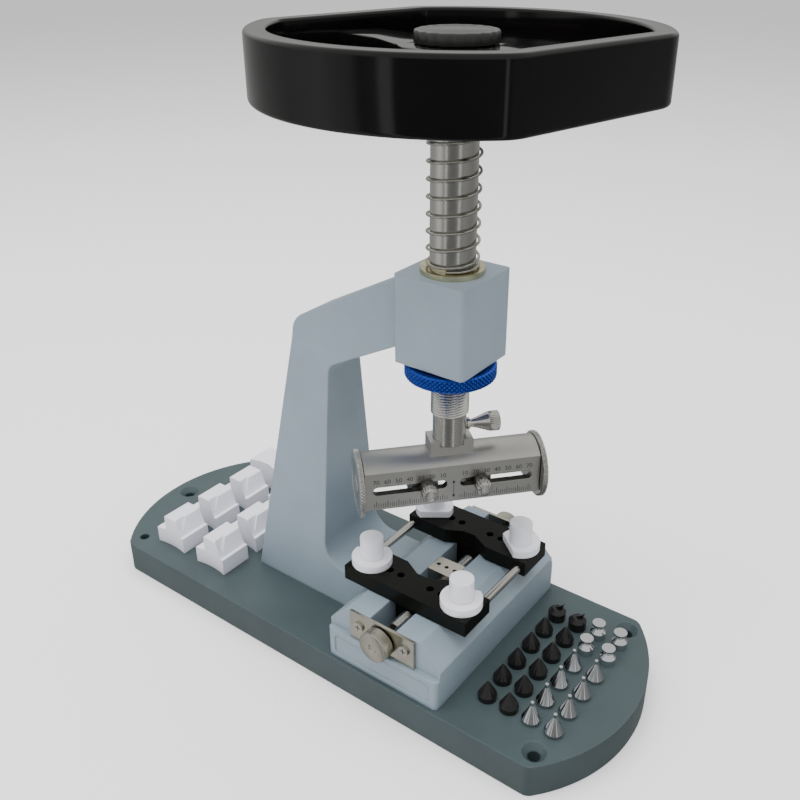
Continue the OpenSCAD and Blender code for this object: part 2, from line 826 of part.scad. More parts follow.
// ---------------------------------------------------------------- vise
// A jaw bar with its lug in the bed's slot; side is -1 for the front jaw, 1 for the rear jaw.
module jaw(side) {
    inner = -side * jaw_w / 2;
    floor_y = inner + side * notch_d;
    rod_hole_r = side < 0 ? guide_r + 0.02 : guide_r + run;
    color("#1d1e1f")
    translate([spindle_x, side * jaw_y, 0])
        difference() {
            union() {
                translate([0, 0, jaw_z])
                    linear_extrude(jaw_t)
                        polygon([[-jaw_l / 2, side * jaw_w / 2], [jaw_l / 2, side * jaw_w / 2],
                            [jaw_l / 2, inner], [notch_half, inner], [notch_floor, floor_y],
                            [-notch_floor, floor_y], [-notch_half, inner], [-jaw_l / 2, inner]]);
                translate([-slot_w / 2 + gap, -lug_l / 2, slot_z + gap])
                    cube([slot_w - 2 * gap, lug_l, jaw_z - slot_z - gap + cut]);
            }
            for (x = [-1, 1]) {
                translate([x * peg_x, 0, jaw_top - 6])
                    cylinder(r = stem_r + run, h = 6 + cut);
                for (d = jaw_holes)
                    translate([x * d, 0, jaw_top - 5])
                        cylinder(r = pin_hole_r, h = 5 + cut);
                translate([x * guide_x, 0, rod_z])
                    rod_y(rod_hole_r, side < 0 ? -jaw_w / 2 + 1 : -jaw_w, jaw_w);
            }
            translate([0, 0, lead_z])
                rod_y(lead_r + run, -jaw_w, jaw_w);
        }
}

module guide_rod(side) {
    reach = jaw_y + jaw_w / 2 - 1;
    color("#b7b5ae")
    translate([spindle_x + side * guide_x, 0, rod_z])
        rod_y(guide_r, -reach, reach);
}

module lead_screw() {
    reach = knob_y + knob_l - 1;
    color("#a6a39c")
    translate([spindle_x, 0, lead_z])
        rod_y(lead_r, -reach, reach);
}

module knob(side) {
    chamfer = 0.6;
    color("#c3bda2")
    translate([spindle_x, side * knob_y, lead_z])
        rotate([-side * 90, 0, 0])
            difference() {
                rotate_extrude($fn = 96)
                    polygon([[lead_r + run, 0], [knob_r - chamfer, 0], [knob_r, chamfer],
                        [knob_r, knob_l - chamfer], [knob_r - chamfer, knob_l], [0, knob_l],
                        [0, knob_l - 1 + run], [lead_r + run, knob_l - 1 + run]]);
                translate([0, 0, knob_l - 0.6])
                    cylinder(r = 1.5, h = 0.6 + cut);
            }
}

module bearing_plate(side) {
    color("#c8c3ab")
    translate([spindle_x, side * plate_y, 0])
        difference() {
            translate([-plate_l / 2, side > 0 ? 0 : -plate_t, ledge_z + run])
                cube([plate_l, plate_t, plate_h]);
            translate([0, 0, lead_z]) {
                rod_y(lead_r + run, -plate_t - cut, plate_t + cut);
                for (x = [-1, 1])
                    translate([x * plate_screw_x, 0, plate_screw_z - lead_z])
                        rod_y(plate_screw_r + run, -plate_t - cut, plate_t + cut);
            }
        }
}

module plate_screws(side) {
    color("#d4d1c4")
    for (x = [-1, 1])
        translate([spindle_x + x * plate_screw_x, side * plate_y, plate_screw_z])
            rotate([-side * 90, 0, 0])
                difference() {
                    union() {
                        translate([0, 0, -7])
                            cylinder(r = plate_screw_r, h = 7 + plate_t + cut);
                        translate([0, 0, plate_t])
                            cylinder(r = plate_screw_head_r, h = plate_screw_head_h);
                    }
                    for (a = [0, 90])
                        rotate([0, 0, a])
                            translate([-1.6, -0.3, plate_t + plate_screw_head_h - 0.6])
                                cube([3.2, 0.6, 0.6 + cut]);
                }
}

module centre_block() {
    color("#bdb8a0")
    translate([spindle_x, 0, 0])
        difference() {
            translate([-slot_w / 2 + run, -centre_l / 2, slot_z])
                cube([slot_w - 2 * run, centre_l, slot_depth]);
            translate([0, 0, lead_z])
                rod_y(lead_r + run, -centre_l, centre_l);
            for (x = [-4.6, 0, 4.6])
                translate([x, 0, way_z - 3.5])
                    cylinder(r = 1, h = 3.5 + cut);
        }
}

// A nylon peg with a flanged foot that is cut flat on one side, standing in its jaw.
module peg(x_side, y_side, flat_turn) {
    flange_low = 0.15;
    color("#e9e9f0")
    translate([spindle_x + x_side * peg_x, y_side * jaw_y, jaw_top])
        rotate([0, 0, flat_turn]) {
            translate([0, 0, -5.5])
                cylinder(r = stem_r, h = 5.5 + flange_low + cut);
            translate([0, 0, flange_low])
                linear_extrude(peg_flange_t - flange_low)
                    intersection() {
                        circle(peg_flange_r);
                        translate([peg_flat - 2 * peg_flange_r, -peg_flange_r])
                            square(2 * peg_flange_r);
                    }
            translate([0, 0, peg_flange_t - cut])
                cylinder(r = peg_r, h = peg_h + cut);
        }
}

// ---------------------------------------------------------------- stored bits and blocks
module bit_shank() {
    translate([0, 0, -bit_shank_h])
        cylinder(r = bit_shank_r, h = bit_shank_h + cut);
}

module black_cone_bits() {
    foot = 2.6;
    color("#232122")
    bit_places(0, 1, 0, 4) {
        bit_shank();
        cylinder(r = bit_r, h = foot);
        translate([0, 0, foot])
            cylinder(r1 = bit_r, r2 = 0.6, h = bit_h - foot);
    }
}

module black_wedge_bits() {
    blade_t = 1.4;
    color("#232122")
    bit_places(0, 1, 5, 5) {
        bit_shank();
        cylinder(r = bit_r, h = 4.5);
        translate([0, 0, 4.5])
            cylinder(r1 = bit_r, r2 = bit_r - 2, h = 2);
        translate([0, 0, 5.5])
            across(blade_t)
                polygon([[-bit_r + 2, 0], [bit_r - 2, 0], [bit_r - 1, bit_h - 5], [bit_r - 3.5, bit_h - 7]]);
    }
}

module chrome_pin_bits() {
    foot = 1.8;
    pin_h = 1.6;
    color("#cfd0d2")
    bit_places(2, 3, 0, 3) {
        bit_shank();
        cylinder(r1 = bit_r - 0.6, r2 = bit_r, h = foot);
        translate([0, 0, foot])
            cylinder(r1 = bit_r, r2 = 0.7, h = bit_h - foot);
        translate([0, 0, bit_h - cut])
            cylinder(r = 0.8, h = pin_h + cut);
    }
}

module chrome_head_bits() {
    waist_h = 5.5;
    color("#cfd0d2")
    bit_places(2, 3, 4, 5) {
        bit_shank();
        cylinder(r = bit_r - 0.6, h = 3.6);
        translate([0, 0, 3.6])
            cylinder(r1 = bit_r - 0.6, r2 = 1.8, h = waist_h - 3.6);
        translate([0, 0, waist_h])
            cylinder(r1 = 1.8, r2 = bit_r - 1.2, h = 2.2);
        translate([0, 0, waist_h + 2.2])
            cylinder(r = bit_r - 1.2, h = 1);
    }
}

// A shallow round hollow in the side that faces -Y, as deep as given at the middle of the width.
module round_hollow(r, depth) {
    translate([0, -block_d / 2 - r + depth, -cut])
        cylinder(r = r, h = block_h + 2 * cut, $fn = 192);
}

// Nylon case supports: a foot, a ridge with one sloping side and a V notch at that side's end.
module nylon_block(index) {
    column = floor((index - 1) / 4);
    row = (index - 1) % 4;
    ridge_back = -block_w / 2 + 6;
    ridge_front = block_w / 2 - 5.2;
    slope_foot = block_w / 2 - 2.1;
    slope = atan((slope_foot - ridge_front) / (block_h - block_foot));
    notch_d = 1.3;
    hollow_r = [46, 32, 26][row];
    color("#e8e6e8")
    translate([block_x0 + column * block_pitch_x, block_y0 + row * block_pitch_y, base_t])
        difference() {
            union() {
                translate([-block_w / 2, -block_d / 2, 0])
                    cube([block_w, block_d, block_foot]);
                across(block_d)
                    polygon([[ridge_back, block_foot - cut], [slope_foot, block_foot - cut],
                        [slope_foot, block_foot], [ridge_front, block_h], [ridge_back, block_h]]);
            }
            round_hollow(hollow_r, block_w * block_w / 8 / hollow_r);
            translate([ridge_front, -block_d / 2, block_h])
                rotate([0, -slope, 0])
                    along(-notch_d, 2 * notch_d)
                        polygon([[1.6, 1], [8.4, 1], [2.9, -7.4]]);
        }
}

// A nylon support with a round hollow in its side, for the edge of a round case.
module curved_nylon_support() {
    color("#e8e6e8")
    translate([block_x0, block_y0 + 3 * block_pitch_y, base_t])
        difference() {
            translate([-block_w / 2, -block_d / 2, 0])
                cube([block_w, block_d, block_h - 1]);
            round_hollow(seat_r, block_w * block_w / 8 / seat_r);
        }
}

base_plate();
frame_casting();
frame_screws();
head_bush();
return_spring();
spring_seat();
spindle();
handwheel();
hub_cap();
stop_ring();
head_bar();
bar_screw();
end_disc(-1);  // end_disc_left
end_disc(1);  // end_disc_right
carrier(-1);  // carrier_left
carrier(1);  // carrier_right
clamp_screw(-1);  // clamp_screw_left
clamp_screw(1);  // clamp_screw_right
side_thumbscrew();
jaw(-1);  // jaw_front
jaw(1);  // jaw_rear
guide_rod(-1);  // guide_rod_left
guide_rod(1);  // guide_rod_right
lead_screw();
knob(-1);  // knob_front
knob(1);  // knob_rear
bearing_plate(-1);  // bearing_plate_front
bearing_plate(1);  // bearing_plate_rear
plate_screws(-1);  // plate_screws_front
plate_screws(1);  // plate_screws_rear
centre_block();
peg(-1, -1, 126);  // peg_front_left
peg(1, -1, 112);  // peg_front_right
peg(-1, 1, -54);  // peg_rear_left
peg(1, 1, -129);  // peg_rear_right
black_cone_bits();
black_wedge_bits();
chrome_pin_bits();
chrome_head_bits();
nylon_block(1);  // nylon_block_1
nylon_block(2);  // nylon_block_2
nylon_block(3);  // nylon_block_3
nylon_block(5);  // nylon_block_4
nylon_block(6);  // nylon_block_5
nylon_block(7);  // nylon_block_6
curved_nylon_support();
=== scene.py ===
import math
import bpy
from mathutils import Matrix, Vector


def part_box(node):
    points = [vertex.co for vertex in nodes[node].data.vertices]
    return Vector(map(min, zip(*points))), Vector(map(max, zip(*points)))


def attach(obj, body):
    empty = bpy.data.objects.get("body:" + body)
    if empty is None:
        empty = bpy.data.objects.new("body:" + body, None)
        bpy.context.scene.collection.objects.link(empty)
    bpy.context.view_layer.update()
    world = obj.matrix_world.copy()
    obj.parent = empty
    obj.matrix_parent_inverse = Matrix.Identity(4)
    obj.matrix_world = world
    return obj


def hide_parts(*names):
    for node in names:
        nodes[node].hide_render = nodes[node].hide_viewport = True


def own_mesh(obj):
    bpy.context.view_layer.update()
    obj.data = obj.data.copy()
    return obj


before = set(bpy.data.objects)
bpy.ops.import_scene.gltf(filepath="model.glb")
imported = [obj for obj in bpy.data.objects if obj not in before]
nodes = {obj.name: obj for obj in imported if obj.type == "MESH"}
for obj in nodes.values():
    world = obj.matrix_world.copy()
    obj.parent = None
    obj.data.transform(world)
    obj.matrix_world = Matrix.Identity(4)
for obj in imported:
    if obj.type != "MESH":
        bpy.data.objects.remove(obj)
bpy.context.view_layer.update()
MM = 0.001

# ---------------------------------------------------------------- camera
# A slightly long lens, looking down on the press from its front right corner.
# The bits stand at the right of the view and the nylon supports at the left.
camera_data = bpy.data.cameras.new("press_camera")
camera = bpy.data.objects.new("press_camera", camera_data)
bpy.context.scene.collection.objects.link(camera)
camera.location = (0.2456, -0.2930, 0.3295)
camera.rotation_euler = (math.radians(90 - 27.13), 0, math.radians(36.316))
camera_data.sensor_width = 36
camera_data.lens = 41.18
camera_data.shift_x = -0.0192
camera_data.shift_y = -0.0222
camera_data.clip_start = 0.01
camera_data.dof.use_dof = False
bpy.context.scene.camera = camera

# ---------------------------------------------------------------- bench top and studio light
# A plain white bench top under a large soft box, with a weak one on the left.
# The room is even light for paint and nylon, but polished steel mirrors its walls:
# pale panels with a darker stretch between them, and a bright ceiling.


def new_finish(name):
    """A new material with its nodes, links and shader."""
    material = bpy.data.materials.new(name)
    material.use_nodes = True
    tree = material.node_tree
    return material, tree.nodes, tree.links, tree.nodes["Principled BSDF"]


bench_mesh = bpy.data.meshes.new("bench_top")
bench_reach, bench_gap = 5, 0.0002
bench_corners = [(x * bench_reach, y * bench_reach, 0) for x, y in ((-1, -1), (1, -1), (1, 1), (-1, 1))]
bench_mesh.from_pydata(bench_corners, [], [(0, 1, 2, 3)])
bench = bpy.data.objects.new("bench_top", bench_mesh)
bpy.context.scene.collection.objects.link(bench)
bench.location = (0, 0, -bench_gap)
bench.visible_glossy = False
bench_white, _, _, bench_shader = new_finish("bench_white")
bench_shader.inputs["Base Color"].default_value = (0.95, 0.95, 0.95, 1)
bench_shader.inputs["Roughness"].default_value = 0.8
bench_shader.inputs["Specular IOR Level"].default_value = 0.1
bench_mesh.materials.append(bench_white)


def soft_box(name, place, aim, width, height, watts):
    """A rectangular lamp pointed at aim, which polished steel doesn't mirror."""
    lamp = bpy.data.lights.new(name, "AREA")
    lamp.shape = "RECTANGLE"
    lamp.size = width
    lamp.size_y = height
    lamp.energy = watts
    thing = bpy.data.objects.new(name, lamp)
    bpy.context.scene.collection.objects.link(thing)
    thing.location = place
    thing.rotation_euler = (Vector(place) - Vector(aim)).to_track_quat("Z", "Y").to_euler()
    thing.visible_glossy = False
    return thing


soft_box("top_box", (0.0, -0.15, 1.5), (0, 0, 0), 1.6, 1.6, 42)
soft_box("left_box", (-0.9, -1.0, 0.9), (0, 0, 0.12), 0.7, 1.0, 4)

room = bpy.context.scene.world or bpy.data.worlds.new("room")
bpy.context.scene.world = room
room.use_nodes = True
room_nodes, room_links = room.node_tree.nodes, room.node_tree.links
even_light = room_nodes["Background"]
even_light.inputs["Color"].default_value = (1.0, 1.0, 1.0, 1)
even_light.inputs["Strength"].default_value = 0.78
walls = room_nodes.new("ShaderNodeBackground")
walls.inputs["Strength"].default_value = 1.0
around = room_nodes.new("ShaderNodeTexCoord")
azimuth = room_nodes.new("ShaderNodeTexGradient")
azimuth.gradient_type = "RADIAL"
room_links.new(around.outputs["Generated"], azimuth.inputs["Vector"])
wall_tones = room_nodes.new("ShaderNodeValToRGB")
# each pair is a share of a full turn round the room and the wall's brightness there
wall_stops = [(0.0, 0.36), (0.07, 0.42), (0.135, 0.75), (0.185, 0.55), (0.20, 0.22), (0.222, 0.30),
              (0.231, 1.0), (0.243, 1.0), (0.250, 0.19), (0.33, 0.15), (0.405, 0.19), (0.413, 1.0),
              (0.424, 1.0), (0.436, 0.16), (0.47, 0.30), (0.60, 0.22), (0.78, 0.36), (1.0, 0.36)]
wall_blue = 0.985
wall_tones.color_ramp.elements[0].position, wall_tones.color_ramp.elements[1].position = 0.0, 1.0
for stop, tone in wall_stops[1:-1]:
    wall_tones.color_ramp.elements.new(stop)
for element, (stop, tone) in zip(wall_tones.color_ramp.elements, wall_stops):
    element.position = stop
    element.color = (tone, tone, tone * wall_blue, 1)
room_links.new(azimuth.outputs["Fac"], wall_tones.inputs["Fac"])
height = room_nodes.new("ShaderNodeSeparateXYZ")
room_links.new(around.outputs["Generated"], height.inputs["Vector"])
overhead = room_nodes.new("ShaderNodeMapRange")
overhead.inputs["From Min"].default_value = 0.05
overhead.inputs["From Max"].default_value = 0.35
room_links.new(height.outputs["Z"], overhead.inputs["Value"])
ceiling = room_nodes.new("ShaderNodeMixRGB")
ceiling.inputs["Color2"].default_value = (0.85, 0.85, 0.83, 1)
room_links.new(overhead.outputs["Result"], ceiling.inputs["Fac"])
room_links.new(wall_tones.outputs["Color"], ceiling.inputs["Color1"])
room_links.new(ceiling.outputs["Color"], walls.inputs["Color"])
kind_of_ray = room_nodes.new("ShaderNodeLightPath")
either = room_nodes.new("ShaderNodeMixShader")
room_links.new(kind_of_ray.outputs["Is Glossy Ray"], either.inputs["Fac"])
room_links.new(even_light.outputs["Background"], either.inputs[1])
room_links.new(walls.outputs["Background"], either.inputs[2])
room_links.new(either.outputs["Shader"], room_nodes["World Output"].inputs["Surface"])

# ---------------------------------------------------------------- base plate
# A thick steel plate with bowed ends, milled and sprayed a dark blue grey.
# Countersunk holes take the bench screws, and small bores hold the bits.


def finish(name, colour, roughness, metallic=0.0, mottle=0.06, patch=38.0, grain=900.0, stretch=(1, 1, 1),
           peel=0.01, edge=0.4, lacquer=0.0, painted_edge_highlight=0.0, knurl_light_and_shade=0.0, shine=0.5):
    """A worked surface: slow mottling in the colour, fine grain in gloss and relief, softened edges.
    Sizes of peel and edge are in millimetres; stretch draws the grain out along an axis; the edge highlight
    amount paints a paler highlight along the edges; the knurl amount paints shade into the valleys of a knurl
    and a highlight onto its points; shine is the strength of the mirror-like part of a paint or plastic."""
    material, n, links, shader = new_finish(name)
    where = n.new("ShaderNodeTexCoord")
    slow = n.new("ShaderNodeTexNoise")
    slow.inputs["Scale"].default_value = patch
    slow.inputs["Detail"].default_value = 4.0
    links.new(where.outputs["Object"], slow.inputs["Vector"])
    drawn = n.new("ShaderNodeMapping")
    drawn.inputs["Scale"].default_value = stretch
    links.new(where.outputs["Object"], drawn.inputs["Vector"])
    fine = n.new("ShaderNodeTexNoise")
    fine.inputs["Scale"].default_value = grain
    fine.inputs["Detail"].default_value = 3.0
    links.new(drawn.outputs["Vector"], fine.inputs["Vector"])
    tint = n.new("ShaderNodeValToRGB")
    darker_end, paler_end = tint.color_ramp.elements
    darker_end.position, paler_end.position = 0.3, 0.7
    darker_end.color = (*[c * (1 - mottle) for c in colour], 1)
    paler_end.color = (*[min(1.0, c * (1 + mottle)) for c in colour], 1)
    links.new(slow.outputs["Fac"], tint.inputs["Fac"])
    rounded = n.new("ShaderNodeBevel")
    rounded.samples = 4
    rounded.inputs["Radius"].default_value = edge * MM
    colour_out = tint.outputs["Color"]
    if painted_edge_highlight:
        # painted highlight: the rounded normal leaves the flat one near an edge, and there the colour is
        # painted paler, as if light caught the edge
        apart = n.new("ShaderNodeVectorMath")
        apart.operation = "DOT_PRODUCT"
        shape = n.new("ShaderNodeNewGeometry")
        links.new(rounded.outputs["Normal"], apart.inputs[0])
        links.new(shape.outputs["Normal"], apart.inputs[1])
        edge_highlight_mask = n.new("ShaderNodeMapRange")
        edge_highlight_mask.inputs["From Min"].default_value = 0.985
        edge_highlight_mask.inputs["From Max"].default_value = 0.80
        edge_highlight_mask.inputs["To Max"].default_value = painted_edge_highlight
        links.new(apart.outputs["Value"], edge_highlight_mask.inputs["Value"])
        paler = n.new("ShaderNodeMixRGB")
        paler.inputs["Color2"].default_value = (*[min(1.0, c * 1.9 + 0.03) for c in colour], 1)
        links.new(edge_highlight_mask.outputs["Result"], paler.inputs["Fac"])
        links.new(colour_out, paler.inputs["Color1"])
        colour_out = paler.outputs["Color"]
    if knurl_light_and_shade:
        # painted shade in the knurl's valleys and a painted highlight on its points, taken from the mesh's
        # pointiness
        relief_shape = n.new("ShaderNodeNewGeometry")
        painted_knurl_light = n.new("ShaderNodeValToRGB")
        valley_shade, point_highlight = painted_knurl_light.color_ramp.elements
        valley_shade.position, point_highlight.position = 0.42, 0.60
        valley_shade.color = (1 - knurl_light_and_shade, 1 - knurl_light_and_shade, 1 - knurl_light_and_shade, 1)
        point_highlight.color = (1 + knurl_light_and_shade, 1 + knurl_light_and_shade, 1 + knurl_light_and_shade, 1)
        links.new(relief_shape.outputs["Pointiness"], painted_knurl_light.inputs["Fac"])
        shaded = n.new("ShaderNodeMixRGB")
        shaded.blend_type = "MULTIPLY"
        shaded.inputs["Fac"].default_value = 1.0
        links.new(colour_out, shaded.inputs["Color1"])
        links.new(painted_knurl_light.outputs["Color"], shaded.inputs["Color2"])
        colour_out = shaded.outputs["Color"]
    links.new(colour_out, shader.inputs["Base Color"])
    gloss = n.new("ShaderNodeMapRange")
    gloss.inputs["To Min"].default_value = roughness * 0.8
    gloss.inputs["To Max"].default_value = min(1.0, roughness * 1.2)
    links.new(fine.outputs["Fac"], gloss.inputs["Value"])
    links.new(gloss.outputs["Result"], shader.inputs["Roughness"])
    relief = n.new("ShaderNodeBump")
    relief.inputs["Distance"].default_value = peel * MM
    links.new(fine.outputs["Fac"], relief.inputs["Height"])
    links.new(rounded.outputs["Normal"], relief.inputs["Normal"])
    links.new(relief.outputs["Normal"], shader.inputs["Normal"])
    shader.inputs["Metallic"].default_value = metallic
    shader.inputs["Specular IOR Level"].default_value = shine
    if lacquer:
        shader.inputs["Coat Weight"].default_value = lacquer
        shader.inputs["Coat Roughness"].default_value = 0.05
    return material


def dress(material, *names):
    """Gives carried-over pieces their finish."""
    for node in names:
        nodes[node].data.materials.clear()
        nodes[node].data.materials.append(material)


# a pale highlight is painted along the plate's edges
base_paint = finish("base_paint", (0.041, 0.060, 0.064), 0.42, mottle=0.10, peel=0.015, edge=0.9,
                    painted_edge_highlight=0.6)
dress(base_paint, "base_plate")

# ---------------------------------------------------------------- frame casting
# Bed, column, arm and head block are one iron casting, filled, rubbed down and sprayed.
# Five socket screws hold it from beneath the base.
# a pale highlight is painted along the casting's edges
frame_paint = finish("frame_paint", (0.212, 0.268, 0.315), 0.36, mottle=0.05, peel=0.02, edge=1.5,
                     painted_edge_highlight=0.3)
dress(frame_paint, "frame_casting")
screw_black = finish("screw_black", (0.02, 0.02, 0.022), 0.4, metallic=0.6, edge=0.2)
dress(screw_black, "frame_screws")

# ---------------------------------------------------------------- head bush
# A turned flanged bush, zinc plated and yellow passivated, pressed into the head block.
# The spindle runs in its bore.
yellow_zinc = finish("yellow_zinc", (0.60, 0.56, 0.36), 0.22, metallic=1.0, mottle=0.25, patch=120, edge=0.35)
dress(yellow_zinc, "head_bush")

# ---------------------------------------------------------------- spindle
# A ground steel rod with a fine thread below the head for the stop ring,
# and a plain nose that takes the shank of the graduated head.
rod_steel = finish("rod_steel", (0.60, 0.595, 0.565), 0.24, metallic=1.0, mottle=0.03, grain=300.0,
                   stretch=(1, 1, 14), peel=0.006, edge=0.15)
# shade is painted into this knurl's valleys and a highlight onto its points
knurled_steel = finish("knurled_steel", (0.58, 0.575, 0.54), 0.22, metallic=1.0, mottle=0.05, edge=0.04,
                       knurl_light_and_shade=0.6)
turned_steel = finish("turned_steel", (0.60, 0.59, 0.56), 0.27, metallic=1.0, mottle=0.05, grain=500.0,
                      stretch=(1, 1, 10), peel=0.004, edge=0.12)


def place_mesh(name, verts, faces, material, body, sharp=32):
    """A new piece from points in millimetres, smooth but for its real edges, riding on a body."""
    mesh = bpy.data.meshes.new(name)
    mesh.from_pydata([tuple(c * MM for c in v) for v in verts], [], faces)
    mesh.validate()
    mesh.polygons.foreach_set("use_smooth", [True] * len(mesh.polygons))
    mesh.set_sharp_from_angle(angle=math.radians(sharp))
    mesh.materials.append(material)
    thing = bpy.data.objects.new(name, mesh)
    bpy.context.scene.collection.objects.link(thing)
    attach(thing, body)
    return thing


def lathe(outline, steps=96, cut=None):
    """Points and faces of a turned piece about Z. outline holds (radius, height) pairs, closed on the
    axis at both ends; cut gives how much the tool takes off at an angle and a row."""
    verts, faces, rings = [], [], []
    for row, (radius, z) in enumerate(outline):
        if radius < 1e-6:
            rings.append([len(verts)])
            verts.append((0.0, 0.0, z))
            continue
        ring = []
        for step in range(steps):
            angle = 2 * math.pi * step / steps
            r = radius - (cut(angle, row, z) if cut else 0.0)
            ring.append(len(verts))
            verts.append((r * math.cos(angle), r * math.sin(angle), z))
        rings.append(ring)
    for low, high in zip(rings, rings[1:]):
        for step in range(steps):
            after = (step + 1) % steps
            if len(low) == 1:
                faces.append((low[0], high[after], high[step]))
            elif len(high) == 1:
                faces.append((low[step], low[after], high[0]))
            else:
                faces.append((low[step], low[after], high[after], high[step]))
    return verts, faces


def moved(verts, matrix):
    """The points after a move."""
    return [tuple(matrix @ Vector(v)) for v in verts]


def ridge(turns):
    """A V wave of unit height with one ridge a turn."""
    return abs((turns % 1.0) * 2 - 1)


spindle_low, spindle_high = (Vector(v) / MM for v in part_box("spindle"))
ring_low, ring_high = (Vector(v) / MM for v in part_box("stop_ring"))
seat_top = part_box("spring_seat")[1][2] / MM
axis_x = (spindle_low.x + spindle_high.x) / 2
at_spindle = Matrix.Translation((axis_x, 0, 0))
nose_radius, nose_long, thread_radius, rod_radius, stud_radius = 7.5, 15.3, 8.5, 9.5, 6
thread_pitch, thread_rows, thread_depth, thread_past_ring = 1.25, 6, 0.62, 3
nose_top = spindle_low.z + nose_long
thread_top = ring_high.z + thread_past_ring
rows = int((thread_top - nose_top) / thread_pitch * thread_rows)
outline = [(0, spindle_low.z), (nose_radius - 0.6, spindle_low.z), (nose_radius, spindle_low.z + 0.6),
           (nose_radius, nose_top - 1.2), (nose_radius, nose_top - 0.6), (nose_radius + 0.4, nose_top - 0.2)]
first_thread = len(outline)
outline += [(thread_radius, nose_top + i * thread_pitch / thread_rows) for i in range(rows + 1)]
last_thread = len(outline)
outline += [(rod_radius - 0.3, thread_top + 0.1), (rod_radius, thread_top + 0.4), (rod_radius, seat_top),
            (stud_radius, seat_top), (stud_radius, spindle_high.z - 0.4), (stud_radius - 0.4, spindle_high.z),
            (0, spindle_high.z)]


def thread_cut(angle, row, z):
    """The V groove of the spindle's thread, between the nose and the polished rod."""
    if row < first_thread or row >= last_thread:
        return 0.0
    return thread_depth * ridge(z / thread_pitch - angle / (2 * math.pi))


verts, faces = lathe(outline, 72, thread_cut)
spindle = place_mesh("spindle_rod", moved(verts, at_spindle), faces, rod_steel, "rotor", sharp=40)
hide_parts("spindle")

# ---------------------------------------------------------------- return spring and its washer
# Polished spring wire with closed end turns, standing on the bush's flange.
# A plain washer carries its upper end against the wheel's hub. The real coil shortens by the press's stroke
# when the wheel goes down; this mesh keeps its length.
wire_steel = finish("wire_steel", (0.46, 0.45, 0.41), 0.18, metallic=1.0, mottle=0.08, edge=0.1)
dress(wire_steel, "spring_seat")
spring_low, spring_high = (Vector(v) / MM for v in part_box("return_spring"))
wire_radius, spring_turns, spring_start, press_stroke = 0.6, 10.25, math.radians(-72), 15.0
turn_steps, wire_sides = 64, 12
coil_radius = spring_high.x - axis_x - wire_radius
coil_low, coil_high, closed_pitch = spring_low.z + wire_radius, spring_high.z - wire_radius, 2.5 * wire_radius
open_pitch = (coil_high - coil_low - 2 * closed_pitch) / (spring_turns - 2)


def coil_height(turn):
    """The wire's height after a number of turns; the first and last turns are closed."""
    if turn < 1:
        return coil_low + closed_pitch * turn
    if turn > spring_turns - 1:
        return coil_high - closed_pitch * (spring_turns - turn)
    return coil_low + closed_pitch + open_pitch * (turn - 1)


sections = int(spring_turns * turn_steps)
verts, faces = [], []
for i in range(sections + 1):
    turn = i / turn_steps
    a = spring_start + 2 * math.pi * turn
    for j in range(wire_sides):
        b = 2 * math.pi * j / wire_sides
        r = coil_radius + wire_radius * math.cos(b)
        verts.append((r * math.cos(a), r * math.sin(a), coil_height(turn) + wire_radius * math.sin(b)))
for i in range(sections):
    for j in range(wire_sides):
        k = (j + 1) % wire_sides
        near, far = i * wire_sides, (i + 1) * wire_sides
        faces.append((near + j, far + j, far + k, near + k))
faces.append(tuple(range(wire_sides)))
faces.append(tuple(sections * wire_sides + j for j in reversed(range(wire_sides))))
spring = place_mesh("coiled_spring", moved(verts, at_spindle), faces, wire_steel, "press")
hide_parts("return_spring")
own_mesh(spring)

# ---------------------------------------------------------------- handwheel
# An aluminium wheel of round outline with two flats, turned inside and sprayed gloss black.
# A flared crossbar carries the hub, and the whole is one casting.
wheel_black = finish("wheel_black", (0.0022, 0.0018, 0.0018), 0.10, shine=0.2, mottle=0.2, peel=0.003,
                     edge=0.3, lacquer=0.28)
wheel_low, wheel_high = (Vector(v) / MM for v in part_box("handwheel"))
wheel_turn = math.radians(-12.2)
wheel_half, wheel_reach, arc_radius, corner_radius, rim = 67.6, 76.2, 80.0, 15.0, 8.5
rim_tall, corner_steps, arc_steps = 25, 10, 24
rim_low, rim_top = wheel_high.z - rim_tall, wheel_high.z
arc_y = wheel_reach - arc_radius
corner_x = wheel_half - corner_radius
corner_y = arc_y + math.sqrt((arc_radius - corner_radius) ** 2 - corner_x ** 2)
corner_angle = math.atan2(corner_y - arc_y, corner_x)


def wheel_line(inset):
    """The wheel's outline, drawn in by inset."""
    quarter = []
    for i in range(corner_steps + 1):
        a = corner_angle * i / corner_steps
        quarter.append((corner_x + (corner_radius - inset) * math.cos(a),
                        corner_y + (corner_radius - inset) * math.sin(a)))
    for i in range(1, arc_steps + 1):
        a = corner_angle + (math.pi / 2 - corner_angle) * i / arc_steps
        quarter.append(((arc_radius - inset) * math.cos(a), arc_y + (arc_radius - inset) * math.sin(a)))
    left = [(-x, y) for x, y in reversed(quarter[:-1])]
    half = quarter + left
    return half + [(-x, -y) for x, y in half]


def rounded_section(low, high, inner, outer_r, inner_r, steps=5):
    """The wall's section with rounded corners, as (inset, height) pairs."""
    pairs = []
    rounds = (((outer_r, low + outer_r), 180, outer_r), ((inner - inner_r, low + inner_r), 270, inner_r),
              ((inner - inner_r, high - inner_r), 0, inner_r), ((outer_r, high - outer_r), 90, outer_r))
    for centre, start, radius in rounds:
        for i in range(steps + 1):
            a = math.radians(start + 90 * i / steps)
            pairs.append((centre[0] + radius * math.cos(a), centre[1] + radius * math.sin(a)))
    return pairs


